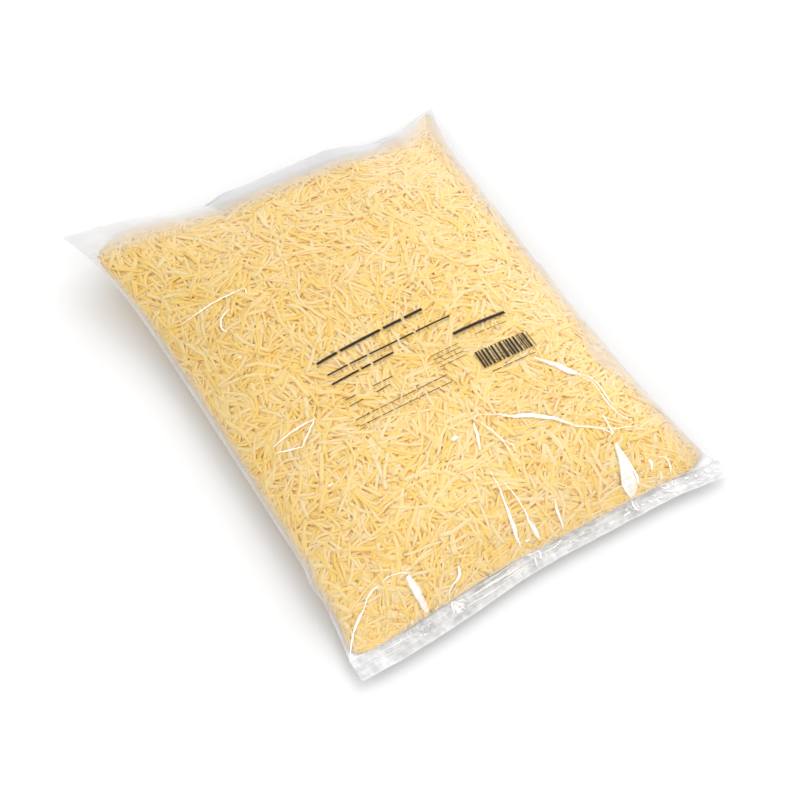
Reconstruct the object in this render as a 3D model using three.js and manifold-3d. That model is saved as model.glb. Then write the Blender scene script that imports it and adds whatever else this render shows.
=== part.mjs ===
// A clear film pillow bag of grated cheese, lying flat with its printed side up.
// Millimetres. +X runs across the bag, +Y from the near seal to the far seal, +Z is up.
// The bag is one solid out to its film: a filled pillow, a flat seal fin at each end with
// corner ears, and the grated strips that press up under the film as low relief.

import * as THREE from 'three';
import { mergeVertices } from 'three/addons/utils/BufferGeometryUtils.js';
import Module from 'manifold-3d';

// Filled body
const fillHeight = 44; // top of the pillow above the table
const middleHalfWidth = 114.6; // half the width at mid-length, filled
const widening = 0.01; // how much the half width grows for each mm towards the far end
const lean = 0.026; // how far the centre line drifts to the right for each mm of length
const sideFoldHeight = 15; // the folded side edges ride this high at mid-length

// The film is drawn out wide at each corner, where nothing fills it
const corners = {
  nearLeft: { pull: 4.4, reach: 100, power: 4.5 },
  nearRight: { pull: 17, reach: 180, power: 4.5 },
  farLeft: { pull: 19.3, reach: 160, power: 3.2 },
  farRight: { pull: 9.6, reach: 158, power: 4 },
};
// A soft bulge on the left fold
const sideBulge = { y: -112, reach: 13, out: 1.8 };

// Near seal: the line where the filling ends, and the fin of welded film beyond it
const nearSealY = -152;
const nearSealHeight = 6;
const nearHalfWidth = 122;
const nearSweepLeft = { from: 0, to: 110, out: 7 };
const nearSweepRight = { from: 85, to: 122, out: 3 };
const nearFin = { left: 12, right: 9, from: -60, to: 20, tipHeight: 3.2 };

// Far seal: its fin rises in an arch and lifts into a raised ear on the left
const farFinY = 160;
const farHalfWidth = 127;
const farTipHalfWidth = 131;
const farFin = 4;
const farLevel = 8;
const farEar = { from: 40, reach: 30, lift: 25 };
const farArch = { leftFrom: -64, leftTo: -22, rightFrom: 42, rightTo: 82, lift: 13 };
const farSweepLeft = { out: 11, power: 1.5 };
const farSweepRight = { from: 98, to: 131, out: 7.5 };

// How fast the pillow rises from each edge to its full height
const acrossPower = 3.6;
const acrossEase = 0.75;
const nearRise = { reach: 48, power: 2.4, ease: 0.85 };
const farRise = { reach: 120, power: 2, ease: 0.85 };
const rimEase = { near: 0.16, far: 0.62 }; // the rim leaves the seals' heights at these v
const underside = {
  overshoot: 1.25,
  acrossPower: 5,
  ease: 0.8,
  nearRise: { reach: 30, power: 2, ease: 0.8 },
  farRise: { reach: 60, power: 2, ease: 0.8 },
};

// Slow hollows and swells that the filling leaves in the top
const swells = [
  { height: 1.1, alongX: 0.031, alongY: 0.024, phase: 0.6 },
  { height: 0.9, alongX: -0.047, alongY: 0.038, phase: 2.1 },
  { height: 0.6, alongX: 0.071, alongY: -0.062, phase: 4.0 },
];

const filmEdge = 1.2; // thickness left at the fins and folds
const columns = 24;
const bodyRows = 28;
const finRows = 1;

// Strips of cheese that show as relief
const strip = {
  count: 108,
  width: 2.8,
  shortest: 24,
  longest: 42,
  raised: 1.0,
  sunk: 2.4,
  segments: 3,
  bend: 0.9,
  tipWidth: 0.45,
  tipSharpness: 4,
  crown: 0.65,
  spacing: 18,
  triesEach: 60,
};
const stripField = { u: 0.93, nearest: 0.06, furthest: 0.95 };
const seed = 20617;

const cheeseColour = 0xefce8e;
const filmRoughness = 0.35;

// Points closer than this are one point
const weldDistance = 1e-4;
// The top's slope at a place is measured this far to each side of it, in u and v
const slopeStep = 0.02;
// A linear congruential series makes the random numbers
const series = { factor: 1664525, shift: 1013904223, range: 2 ** 32 };

function clamp(value, low, high) {
  return Math.min(high, Math.max(low, value));
}

function mix(a, b, t) {
  return a + (b - a) * t;
}

function smoothRamp(value, from, to) {
  const t = clamp((value - from) / (to - from), 0, 1);
  return t * t * (3 - 2 * t);
}

function softBump(value, centre, reach) {
  const away = Math.abs(value - centre) / reach;
  return away < 1 ? Math.cos((away * Math.PI) / 2) ** 2 : 0;
}

// Seeded random numbers from 0 to 1
function makeRandom(start) {
  let state = start;
  return () => {
    state = (state * series.factor + series.shift) % series.range;
    return state / series.range;
  };
}

function nearSeamY(x) {
  const left = nearSweepLeft.out * smoothRamp(-x, nearSweepLeft.from, nearSweepLeft.to);
  const right = nearSweepRight.out * smoothRamp(x, nearSweepRight.from, nearSweepRight.to);
  return nearSealY - left - right;
}

function nearTipY(x) {
  const depth = mix(nearFin.left, nearFin.right, smoothRamp(x, nearFin.from, nearFin.to));
  return nearSeamY(x) - depth;
}

function farTipY(x) {
  const left = farSweepLeft.out * clamp(-x / farTipHalfWidth, 0, 1) ** farSweepLeft.power;
  const right = farSweepRight.out * smoothRamp(x, farSweepRight.from, farSweepRight.to);
  return farFinY + left + right;
}

function farSeamY(x) {
  return farTipY(x) - farFin;
}

function farHeight(x) {
  const ear = farEar.lift * (1 - Math.exp(-Math.max(0, -x - farEar.from) / farEar.reach));
  const archLeft = smoothRamp(x, farArch.leftFrom, farArch.leftTo);
  const archRight = 1 - smoothRamp(x, farArch.rightFrom, farArch.rightTo);
  return farLevel + ear + farArch.lift * archLeft * archRight;
}

function cornerPull(distance, corner) {
  return corner.pull * clamp(1 - distance / corner.reach, 0, 1) ** corner.power;
}

function bodyX(u, y) {
  const near = u < 0 ? corners.nearLeft : corners.nearRight;
  const far = u < 0 ? corners.farLeft : corners.farRight;
  const nearPull = cornerPull(y - nearSeamY(u * nearHalfWidth), near);
  const farPull = cornerPull(farSeamY(u * farHalfWidth) - y, far);
  const bulge = u < 0 ? sideBulge.out * softBump(y, sideBulge.y, sideBulge.reach) : 0;
  return lean * y + u * (middleHalfWidth + widening * y + nearPull + farPull + bulge);
}

// Height of the folded edge all round, carried smoothly across the bag
function rimHeight(u, v) {
  const far = farHeight(u * farHalfWidth);
  const farWeight = smoothRamp(v, rimEase.far, 1);
  const nearWeight = 1 - smoothRamp(v, 0, rimEase.near);
  return mix(mix(sideFoldHeight, nearSealHeight, nearWeight), far, farWeight);
}

function rise(distance, curve) {
  const left = clamp(1 - distance / curve.reach, 0, 1);
  return (1 - left ** curve.power) ** curve.ease;
}

function swellHeight(x, y) {
  return swells.reduce(
    (sum, s) => sum + s.height * Math.sin(s.alongX * x + s.alongY * y + s.phase),
    0,
  );
}

// A place on the filled body: u from -1 at the left fold to 1 at the right fold,
// v from 0 at the near seal to 1 at the far seal
function bodyPlace(u, v) {
  const nearY = nearSeamY(u * nearHalfWidth);
  const farY = farSeamY(u * farHalfWidth);
  const y = mix(nearY, farY, v);
  const x = bodyX(u, y);
  const rim = rimHeight(u, v);
  const across = (1 - Math.abs(u) ** acrossPower) ** acrossEase;
  const along = rise(y - nearY, nearRise) * rise(farY - y, farRise);
  const crown = fillHeight + swellHeight(x, y) - rim;
  const acrossLow = (1 - Math.abs(u) ** underside.acrossPower) ** underside.ease;
  const alongLow = rise(y - nearY, underside.nearRise) * rise(farY - y, underside.farRise);
  const sag = Math.min(1, underside.overshoot * acrossLow * alongLow);
  return { x, y, top: rim + crown * across * along, bottom: rim * (1 - sag) };
}

// A place on a seal fin: t from 0 at the seam to 1 at the tip
function nearFinPlace(u, t) {
  const x = bodyX(u, nearSeamY(u * nearHalfWidth));
  const y = mix(nearSeamY(x), nearTipY(x), t);
  const height = mix(nearSealHeight, nearFin.tipHeight, t);
  return { x, y, top: height, bottom: height };
}

function farFinPlace(u, t) {
  const x = mix(bodyX(u, farSeamY(u * farHalfWidth)), u * farTipHalfWidth, t);
  const y = mix(farSeamY(u * farHalfWidth), farTipY(u * farTipHalfWidth), t);
  const height = farHeight(u * farHalfWidth);
  return { x, y, top: height, bottom: height };
}

// Columns and rows lie closer together towards the folds and the seals
function uAt(column) {
  return Math.sin(((column / columns) * 2 - 1) * (Math.PI / 2));
}

function vAt(row) {
  return (1 - Math.cos((row / bodyRows) * Math.PI)) / 2;
}

function makePillow() {
  const places = [];
  for (let row = finRows; row > 0; row -= 1) {
    places.push((u) => nearFinPlace(u, row / finRows));
  }
  for (let row = 0; row <= bodyRows; row += 1) {
    places.push((u) => bodyPlace(u, vAt(row)));
  }
  for (let row = 1; row <= finRows; row += 1) {
    places.push((u) => farFinPlace(u, row / finRows));
  }

  const width = columns + 1;
  const positions = [];
  for (const face of ['top', 'bottom']) {
    const shift = face === 'top' ? filmEdge / 2 : -filmEdge / 2;
    for (const place of places) {
      for (let column = 0; column <= columns; column += 1) {
        const at = place(uAt(column));
        positions.push(at.x, at.y, Math.max(0, at[face] + shift));
      }
    }
  }

  const rows = places.length;
  const under = width * rows;
  const triangles = [];
  const quad = (a, b, c, d) => triangles.push(a, b, c, a, c, d);
  for (let row = 0; row < rows - 1; row += 1) {
    for (let column = 0; column < columns; column += 1) {
      const a = row * width + column;
      quad(a, a + 1, a + width + 1, a + width);
      quad(under + a, under + a + width, under + a + width + 1, under + a + 1);
    }
    const left = row * width;
    const right = left + columns;
    quad(left, left + width, under + left + width, under + left);
    quad(right + width, right, under + right, under + right + width);
  }
  for (let column = 0; column < columns; column += 1) {
    const near = column;
    const far = (rows - 1) * width + column;
    quad(near + 1, near, under + near, under + near + 1);
    quad(far, far + 1, under + far + 1, under + far);
  }
  return makeGeometry(positions, triangles);
}

function makeGeometry(positions, triangles) {
  const geometry = new THREE.BufferGeometry();
  geometry.setAttribute('position', new THREE.Float32BufferAttribute(positions, 3));
  geometry.setIndex(triangles);
  return mergeVertices(geometry, weldDistance);
}

function topCorner(column, row) {
  const place = bodyPlace(uAt(column), vAt(row));
  return new THREE.Vector3(place.x, place.y, place.top + filmEdge / 2);
}

// A point of the pillow's faceted top, between the four corners of its facet
function topPoint(u, v) {
  const column = ((Math.asin(u) / Math.PI) * 2 + 1) * (columns / 2);
  const row = (Math.acos(1 - 2 * v) / Math.PI) * bodyRows;
  const c = Math.floor(column);
  const r = Math.floor(row);
  const near = topCorner(c, r).lerp(topCorner(c + 1, r), column - c);
  const far = topCorner(c, r + 1).lerp(topCorner(c + 1, r + 1), column - c);
  return near.lerp(far, row - r);
}

function topNormal(u, v) {
  const across = topPoint(u + slopeStep, v).sub(topPoint(u - slopeStep, v));
  const along = topPoint(u, v + slopeStep).sub(topPoint(u, v - slopeStep));
  return across.cross(along).normalize();
}

// The place on a curved strip at s, from -0.5 at its start to 0.5 at its end
function alongStrip(lay, s) {
  const direction = lay.heading + lay.bend * s;
  const bodyLength = farFinY - farFin - nearSealY;
  return {
    u: lay.u + (Math.cos(direction) * s * lay.length) / middleHalfWidth,
    v: lay.v + (Math.sin(direction) * s * lay.length) / bodyLength,
    heading: lay.heading + 2 * lay.bend * s,
  };
}

function onField(place) {
  return (
    Math.abs(place.u) < stripField.u &&
    place.v > stripField.nearest &&
    place.v < stripField.furthest
  );
}

// One grated strip, a low ridge with tapered ends that follows the top of the bag
function makeStrip(lay) {
  const positions = [];
  for (let i = 0; i <= strip.segments; i += 1) {
    const s = i / strip.segments - 0.5;
    const place = alongStrip(lay, s);
    const centre = topPoint(place.u, place.v);
    const normal = topNormal(place.u, place.v);
    const ahead = new THREE.Vector3(Math.cos(place.heading), Math.sin(place.heading), 0);
    const side = ahead.cross(normal).normalize();
    const taper = mix(1, strip.tipWidth, (2 * Math.abs(s)) ** strip.tipSharpness);
    const half = (strip.width / 2) * taper;
    const corner = (sideways, up) =>
      centre.clone().addScaledVector(side, sideways).addScaledVector(normal, up);
    for (const point of [
      corner(-half, -strip.sunk),
      corner(half, -strip.sunk),
      corner(half * strip.crown, strip.raised),
      corner(-half * strip.crown, strip.raised),
    ]) {
      positions.push(...point.toArray());
    }
  }
  const triangles = [0, 1, 2, 0, 2, 3];
  const sides = 4;
  for (let i = 0; i < strip.segments; i += 1) {
    for (let k = 0; k < sides; k += 1) {
      const a = i * sides + k;
      const b = i * sides + ((k + 1) % sides);
      triangles.push(a, b + sides, b, a, a + sides, b + sides);
    }
  }
  const end = strip.segments * sides;
  triangles.push(end, end + 2, end + 1, end, end + 3, end + 2);
  return makeGeometry(positions, triangles);
}

// Strips lie at random headings, evenly spread, the longest ones first
function makeStrips() {
  const random = makeRandom(seed);
  const laid = [];
  const strips = [];
  let tries = 0;
  while (strips.length < strip.count && tries < strip.count * strip.triesEach) {
    tries += 1;
    const lay = {
      u: mix(-stripField.u, stripField.u, random()),
      v: mix(stripField.nearest, stripField.furthest, random()),
      heading: random() * Math.PI,
      bend: (random() - 0.5) * strip.bend,
      length: mix(strip.longest, strip.shortest, strips.length / strip.count),
    };
    if (!onField(alongStrip(lay, -0.5)) || !onField(alongStrip(lay, 0.5))) continue;
    const middle = topPoint(lay.u, lay.v);
    if (laid.some((other) => other.distanceTo(middle) < strip.spacing)) continue;
    laid.push(middle);
    strips.push(makeStrip(lay));
  }
  return strips;
}

const wasm = await Module();
wasm.setup();

function toSolid(geometry) {
  return new wasm.Manifold(
    new wasm.Mesh({
      numProp: 3,
      vertProperties: new Float32Array(geometry.attributes.position.array),
      triVerts: new Uint32Array(geometry.index.array),
    }),
  );
}

function toGeometry(solid) {
  const mesh = solid.getMesh();
  const geometry = new THREE.BufferGeometry();
  geometry.setAttribute('position', new THREE.BufferAttribute(mesh.vertProperties, 3));
  geometry.setIndex(new THREE.BufferAttribute(mesh.triVerts, 1));
  return geometry;
}

function makeBag() {
  let solid = toSolid(makePillow());
  for (const geometry of makeStrips()) {
    solid = solid.add(toSolid(geometry));
  }
  const geometry = toGeometry(solid);
  geometry.computeBoundingBox();
  const box = geometry.boundingBox;
  const centre = box.getCenter(new THREE.Vector3());
  geometry.translate(-centre.x, -centre.y, -box.min.z);
  const material = new THREE.MeshStandardMaterial({
    color: cheeseColour,
    roughness: filmRoughness,
    metalness: 0,
    flatShading: true,
  });
  const bag = new THREE.Mesh(geometry, material);
  bag.name = 'bag';
  return bag;
}

const part = new THREE.Group();
part.add(makeBag());

export default part;
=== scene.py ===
from math import atan2, cos, hypot, pi, radians, sin

import bpy
import numpy as np
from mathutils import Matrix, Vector


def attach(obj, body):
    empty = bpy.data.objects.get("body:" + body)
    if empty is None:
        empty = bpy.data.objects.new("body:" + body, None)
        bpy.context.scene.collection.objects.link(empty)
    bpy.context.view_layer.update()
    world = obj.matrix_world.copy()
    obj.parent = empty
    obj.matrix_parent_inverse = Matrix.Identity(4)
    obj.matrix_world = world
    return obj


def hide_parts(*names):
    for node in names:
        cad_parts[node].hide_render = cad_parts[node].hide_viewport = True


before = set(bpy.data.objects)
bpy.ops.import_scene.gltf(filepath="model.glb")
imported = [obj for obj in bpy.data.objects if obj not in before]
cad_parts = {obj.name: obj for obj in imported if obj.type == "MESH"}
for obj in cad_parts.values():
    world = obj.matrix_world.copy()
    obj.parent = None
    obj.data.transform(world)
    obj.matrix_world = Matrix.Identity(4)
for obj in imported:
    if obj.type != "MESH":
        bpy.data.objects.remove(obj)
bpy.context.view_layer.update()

scene = bpy.context.scene
mm = 0.001  # the bag's lengths below are in millimetres and go into Blender in metres
print("frame loaded")

# the photo's view: the camera looks at a spot near the middle of the bag
view = {
    "azimuth": -31, "elevation": 54, "distance": 1184, "lookAt": (-6.5, -20.2, 0), "lens": 90, "sensor": 36,
}


def addObject(name, data):
    thing = bpy.data.objects.new(name, data)
    scene.collection.objects.link(thing)
    return thing


def makeCamera():
    turn, tilt = radians(view["azimuth"]), radians(view["elevation"])
    back = Vector((sin(turn) * cos(tilt), -cos(turn) * cos(tilt), sin(tilt)))
    data = bpy.data.cameras.new("camera")
    data.lens = view["lens"]
    data.sensor_width = view["sensor"]
    camera = addObject("camera", data)
    camera.location = (Vector(view["lookAt"]) + back * view["distance"]) * mm
    camera.rotation_euler = (-back).to_track_quat("-Z", "Y").to_euler()
    scene.camera = camera


# small helpers on arrays
def mix(a, b, t):
    return a + (b - a) * t


def ramp(value, low, high):
    t = np.clip((value - low) / (high - low), 0, 1)
    return t * t * (3 - 2 * t)


def bump(value, centre, reach):
    away = np.abs(value - centre) / reach
    return np.where(away < 1, np.cos(np.minimum(away, 1) * pi / 2) ** 2, 0)


def softNoise(rng, rows, columns, cell):
    # smooth random relief between -1 and 1, with lumps about cell samples wide
    lumps = rng.uniform(-1, 1, (int(rows / cell) + 4, int(columns / cell) + 4))
    y, x = np.arange(rows) / cell + 1, np.arange(columns) / cell + 1
    iy, ix = y.astype(int), x.astype(int)
    fy, fx = ramp(y - iy, 0, 1)[:, None], ramp(x - ix, 0, 1)[None, :]
    top = mix(lumps[np.ix_(iy, ix)], lumps[np.ix_(iy, ix + 1)], fx)
    low = mix(lumps[np.ix_(iy + 1, ix)], lumps[np.ix_(iy + 1, ix + 1)], fx)
    return mix(top, low, fy)


def relief(rng, shape, layers, base=0):
    return sum((strength * softNoise(rng, *shape, cell) for strength, cell in layers), base)


def blur(grid, times):
    for _ in range(2 * times):  # down and across in turn
        padded = np.pad(grid, 1, mode="edge")
        grid = ((padded[:-2, 1:-1] + padded[2:, 1:-1] + 2 * grid) / 4).T
    return grid


# the filled bag's form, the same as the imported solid's apart from the two sealed bands
bag = {
    "height": 44, "halfWidth": 114.6, "widening": 0.01, "lean": 0.026, "foldHeight": 15,
    "nearLeft": (4.4, 100, 4.5), "nearRight": (17, 180, 4.5),  # pull, reach, power
    "farLeft": (19.3, 160, 3.2), "farRight": (9.6, 158, 4),
    "bulge": (-112, 13, 1.8),  # y, reach, out, on the left fold
    "nearY": -152, "nearHeight": 6, "nearHalf": 122,
    "nearLeftSweep": (0, 110, 7), "nearRightSweep": (85, 122, 3),  # from, to, out
    "nearFin": (14, 11, -60, 20, 6.4),  # depth at the left and the right, changing from x to x, tip height
    "farY": 160, "farHalf": 127, "farTipHalf": 131, "farFin": 1, "farLevel": 8,
    "farLeftSweep": (11, 1.5), "farRightSweep": (98, 131, 7.5),
    "ear": (40, 30, 25),  # from, reach, lift
    "arch": (-64, -22, 42, 82, 13),  # up from x to x, down from x to x, lift
    "rimEase": (0.16, 0.62),  # the rim is level with the side folds between these v
    "across": (3.6, 0.75), "nearRise": (48, 2.4, 0.85), "farRise": (120, 2, 0.85),  # how the top rises
    "underAcross": (5, 0.8), "underNear": (30, 2, 0.8), "underFar": (60, 2, 0.8), "underShare": 1.25,
    "swells": [(1.1, 0.031, 0.024, 0.6), (0.9, -0.047, 0.038, 2.1), (0.6, 0.071, -0.062, 4.0)],
}


def nearSeamY(x):
    leftFrom, leftTo, leftOut = bag["nearLeftSweep"]
    rightFrom, rightTo, rightOut = bag["nearRightSweep"]
    return bag["nearY"] - leftOut * ramp(-x, leftFrom, leftTo) - rightOut * ramp(x, rightFrom, rightTo)


def nearTipY(x):
    left, right, start, end, _ = bag["nearFin"]
    return nearSeamY(x) - mix(left, right, ramp(x, start, end))


def farTipY(x):
    out, power = bag["farLeftSweep"]
    start, end, rightOut = bag["farRightSweep"]
    return bag["farY"] + out * np.clip(-x / bag["farTipHalf"], 0, 1) ** power + rightOut * ramp(x, start, end)


def farSeamY(x):
    return farTipY(x) - bag["farFin"]


def seams(u):
    # where the near and the far seam lie, at u across the body
    return nearSeamY(u * bag["nearHalf"]), farSeamY(u * bag["farHalf"])


def farHeight(x):
    start, reach, lift = bag["ear"]
    ear = lift * (1 - np.exp(-np.maximum(0, -x - start) / reach))
    leftFrom, leftTo, rightFrom, rightTo, arch = bag["arch"]
    return bag["farLevel"] + ear + arch * ramp(x, leftFrom, leftTo) * (1 - ramp(x, rightFrom, rightTo))


def cornerPull(distance, u, left, right):
    pull, reach, power = (np.where(u < 0, a, b) for a, b in zip(bag[left], bag[right]))
    return pull * np.clip(1 - distance / reach, 0, 1) ** power


def bodyX(u, y):
    nearY, farY = seams(u)
    near = cornerPull(y - nearY, u, "nearLeft", "nearRight")
    far = cornerPull(farY - y, u, "farLeft", "farRight")
    place, reach, out = bag["bulge"]
    bulge = np.where(u < 0, out * bump(y, place, reach), 0)
    return bag["lean"] * y + u * (bag["halfWidth"] + bag["widening"] * y + near + far + bulge)


def rise(distance, reach, power, ease):
    return (1 - np.clip(1 - distance / reach, 0, 1) ** power) ** ease


def belly(u, power, ease):
    return np.clip(1 - np.abs(u) ** power, 0, 1) ** ease


def bodyPlace(u, v):
    # u runs from -1 at the left fold to 1 at the right one, v from 0 at the near seal to 1 at the far seal
    nearY, farY = seams(u)
    y = mix(nearY, farY, v)
    x = bodyX(u, y)
    nearEase, farEase = bag["rimEase"]
    rim = mix(bag["foldHeight"], bag["nearHeight"], 1 - ramp(v, 0, nearEase))
    rim = mix(rim, farHeight(u * bag["farHalf"]), ramp(v, farEase, 1))
    swell = sum(size * np.sin(byX * x + byY * y + phase) for size, byX, byY, phase in bag["swells"])
    along = rise(y - nearY, *bag["nearRise"]) * rise(farY - y, *bag["farRise"])
    top = rim + (bag["height"] + swell - rim) * belly(u, *bag["across"]) * along
    sag = bag["underShare"] * belly(u, *bag["underAcross"])
    sag = sag * rise(y - nearY, *bag["underNear"]) * rise(farY - y, *bag["underFar"])
    return x, y, top, rim * (1 - np.minimum(1, sag))


# The film is handled as two flat sheets, top and under. A place on a sheet is (a, b) in mm along the
# film, across from the middle and along from the near seal, and a depth into the bag.
sheetStep = 1.4
fineSamples = 801  # for lengths along the film
leastRoom = 0.05  # half the thickness left where the bag is thinnest


def makeSheet(face):
    u, v = np.linspace(-1, 1, fineSamples), np.linspace(0, 1, fineSamples)
    column = {"top": 2, "under": 3}[face]
    across, along = bodyPlace(u, 0.5 + 0 * u), bodyPlace(0 * v, v)
    a = np.concatenate([[0], np.cumsum(np.hypot(np.diff(across[0]), np.diff(across[column])))])
    b = np.concatenate([[0], np.cumsum(np.hypot(np.diff(along[1]), np.diff(along[column])))])
    a -= np.interp(0, u, a)
    countA, countB = int((a[-1] - a[0]) / sheetStep) + 1, int(b[-1] / sheetStep) + 1
    gridA, gridB = np.linspace(a[0], a[-1], countA), np.linspace(0, b[-1], countB)
    U, V = np.meshgrid(np.interp(gridA, a, u), np.interp(gridB, b, v))
    place = bodyPlace(U, V)
    points = np.stack([place[0], place[1], place[column]], -1)
    overA, overB = np.gradient(points, axis=1), np.gradient(points, axis=0)
    normals = np.cross(overA, overB) * (1 if face == "top" else -1)
    normals /= np.maximum(np.linalg.norm(normals, axis=-1, keepdims=True), 1e-9)
    return {"a": gridA, "b": gridB, "points": points, "normals": normals, "u": U, "v": V,
            "room": (place[2] - place[3]) / 2, "face": face}


def sample(sheet, grid, a, b):
    # the grid's value at film places, between its four nearest samples
    i = np.clip((a - sheet["a"][0]) / (sheet["a"][1] - sheet["a"][0]), 0, len(sheet["a"]) - 1.001)
    j = np.clip(b / sheet["b"][1], 0, len(sheet["b"]) - 1.001)
    i0, j0 = i.astype(int), j.astype(int)
    fi, fj = i - i0, j - j0
    if grid.ndim == 3:
        fi, fj = fi[..., None], fj[..., None]
    near = mix(grid[j0, i0], grid[j0, i0 + 1], fi)
    return mix(near, mix(grid[j0 + 1, i0], grid[j0 + 1, i0 + 1], fi), fj)


def wrap(sheet, a, b, depth):
    # a depth below zero stands out of the film; deep places are squeezed where the bag is thin
    room = np.maximum(sample(sheet, sheet["room"], a, b), leastRoom)
    inside = np.where(depth > 0, room * (1 - np.exp(-np.maximum(depth, 0) / room)), depth)
    return sample(sheet, sheet["points"], a, b) - sample(sheet, sheet["normals"], a, b) * inside[..., None]


def placeOnTop(sheet, x, y):
    # the film place (a, b) over a point of the table
    x, y = np.asarray(x, float), np.asarray(y, float)
    middle, side = bag["lean"] * y, np.ones_like(x)
    width = np.where(x > middle, bodyX(side, y) - middle, middle - bodyX(-side, y))
    u = (x - middle) / width
    nearY, farY = seams(u)
    v = (y - nearY) / (farY - nearY)
    row, column = len(sheet["b"]) // 2, len(sheet["a"]) // 2
    return np.interp(u, sheet["u"][row], sheet["a"]), np.interp(v, sheet["v"][:, column], sheet["b"])


def addMesh(name, points, faces, material, smooth=True, marks=None):
    points, faces = np.asarray(points, float).reshape(-1, 3) * mm, np.asarray(faces, int)
    mesh = bpy.data.meshes.new(name)
    mesh.vertices.add(len(points))
    mesh.vertices.foreach_set("co", points.ravel())
    mesh.loops.add(faces.size)
    mesh.loops.foreach_set("vertex_index", faces.ravel())
    mesh.polygons.add(len(faces))
    mesh.polygons.foreach_set("loop_start", np.arange(0, faces.size, faces.shape[1]))
    mesh.polygons.foreach_set("use_smooth", np.full(len(faces), smooth))
    for key, values in (marks or {}).items():
        mark = mesh.attributes.new(key, "FLOAT", "POINT")
        mark.data.foreach_set("value", np.asarray(values, float).ravel())
    mesh.update(calc_edges=True)
    mesh.validate()
    piece = addObject(name, mesh)
    mesh.materials.append(material)
    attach(piece, "root")
    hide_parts("bag")
    return piece


def gridFaces(rows, columns, flip=False):
    index = np.arange(rows * columns).reshape(rows, columns)
    corners = [index[:-1, :-1], index[:-1, 1:], index[1:, 1:], index[1:, :-1]]
    if flip:
        corners.reverse()
    return np.stack(corners, -1).reshape(-1, 4)


def joined(parts):
    # many small meshes as one: the corners together, the faces counted on
    starts = np.cumsum([0] + [len(corners) for corners, _ in parts[:-1]])
    points = np.concatenate([corners for corners, _ in parts])
    return points, np.concatenate([faces + start for (_, faces), start in zip(parts, starts)])


# materials
class Nodes:
    def __init__(self, name):
        self.material = bpy.data.materials.new(name)
        self.material.use_nodes = True
        self.tree = self.material.node_tree
        self.tree.nodes.clear()
        self.output = self.add("OutputMaterial")

    def add(self, kind, **settings):
        # settings are the node's own, or feed its inputs: a value, an output, or a node for its first output
        node = self.tree.nodes.new("ShaderNode" + kind)
        for key, value in settings.items():
            if hasattr(node, key):
                setattr(node, key, value)
            else:
                self.feed(node.inputs[key.replace("_", " ")], value)
        return node

    def feed(self, socket, value):
        if isinstance(value, bpy.types.Node):
            value = value.outputs[0]
        if isinstance(value, bpy.types.NodeSocket):
            self.tree.links.new(value, socket)
        else:
            socket.default_value = value

    def math(self, operation, *values):
        node = self.add("Math", operation=operation)
        for socket, value in zip(node.inputs, values):
            self.feed(socket, value)
        return node

    def mark(self, key):
        return self.add("Attribute", attribute_name=key).outputs["Fac"]

    def noise(self, place, settings):
        return self.add("TexNoise", Vector=place, **settings)

    def tones(self, source, stops):
        ramped = self.add("ValToRGB", Fac=source)
        elements = ramped.color_ramp.elements
        for number, (place, colour) in enumerate(stops):
            stop = elements[number] if number < 2 else elements.new(place)
            stop.position, stop.color = place, (*colour, 1)
        return ramped

    def blend(self, share, first, second):
        node = self.add("MixShader", Fac=share)
        self.feed(node.inputs[1], first)
        self.feed(node.inputs[2], second)
        return node

    def finish(self, surface):
        self.feed(self.output.inputs["Surface"], surface)
        return self.material


cheeseLook = {
    "tones": (  # by "tone", from the strongest yellow to the palest shreds
        (0.1, (0.60, 0.425, 0.09)), (0.4, (0.755, 0.535, 0.165)),
        (0.7, (0.78, 0.58, 0.255)), (1.0, (0.745, 0.605, 0.36)),
    ),
    "farPaintedShade": (0.875, 0.85, 0.70),  # painted shade: the far left shreds are darker
    "under": (0.92, 0.46, 0.03),  # painted shade: the undersides, seen in the gaps, are deep orange
    "surface": {"Roughness": 0.5, "Specular_IOR_Level": 0.15},
    "mottle": {"Scale": 260, "Detail": 3, "Roughness": 0.6}, "mottleShare": 0.35,
    "grain": {"Scale": 1400, "Detail": 2}, "relief": {"Strength": 0.2, "Distance": 0.0003},
}


def cheeseMaterial():
    nodes = Nodes("gratedCheese")
    tone, place = nodes.mark("tone"), nodes.add("TexCoord").outputs["Object"]
    mottle = nodes.math("MULTIPLY", nodes.noise(place, cheeseLook["mottle"]), cheeseLook["mottleShare"])
    tone = nodes.math("SUBTRACT", nodes.math("ADD", mottle, tone), cheeseLook["mottleShare"] / 2)
    colour = nodes.tones(tone, cheeseLook["tones"])
    # painted shade: the far left shreds are darkened and the undersides in the gaps turn deep orange
    for key, kind, tint in (("far", "MULTIPLY", "farPaintedShade"), ("deep", "MIX", "under")):
        shaded = nodes.add("Mix", data_type="RGBA", blend_type=kind, Factor=nodes.mark(key))
        nodes.feed(shaded.inputs[6], colour)  # its two colour inputs are 6 and 7
        nodes.feed(shaded.inputs[7], (*cheeseLook[tint], 1))
        colour = shaded.outputs[2]
    grain = nodes.noise(place, cheeseLook["grain"])
    normal = nodes.add("Bump", Height=grain, **cheeseLook["relief"])
    surface = nodes.add("BsdfPrincipled", Base_Color=colour, Normal=normal, **cheeseLook["surface"])
    return nodes.finish(surface)


# the core shows in the gaps between shreds: cheese colour deepened to orange as painted shade
coreLook = {
    "tones": ((0.3, (0.93, 0.58, 0.10)), (0.7, (0.95, 0.68, 0.16))), "surface": {"Roughness": 0.6},
    "mottle": {"Scale": 420, "Detail": 4, "Roughness": 0.65},
    "relief": {"Strength": 0.8, "Distance": 0.001},
}


def coreMaterial():
    nodes = Nodes("packedCheeseGapShade")
    mottle = nodes.noise(nodes.add("TexCoord").outputs["Object"], coreLook["mottle"])
    colour = nodes.tones(mottle, coreLook["tones"])
    normal = nodes.add("Bump", Height=mottle, **coreLook["relief"])
    return nodes.finish(nodes.add("BsdfPrincipled", Base_Color=colour, Normal=normal, **coreLook["surface"]))


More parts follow.
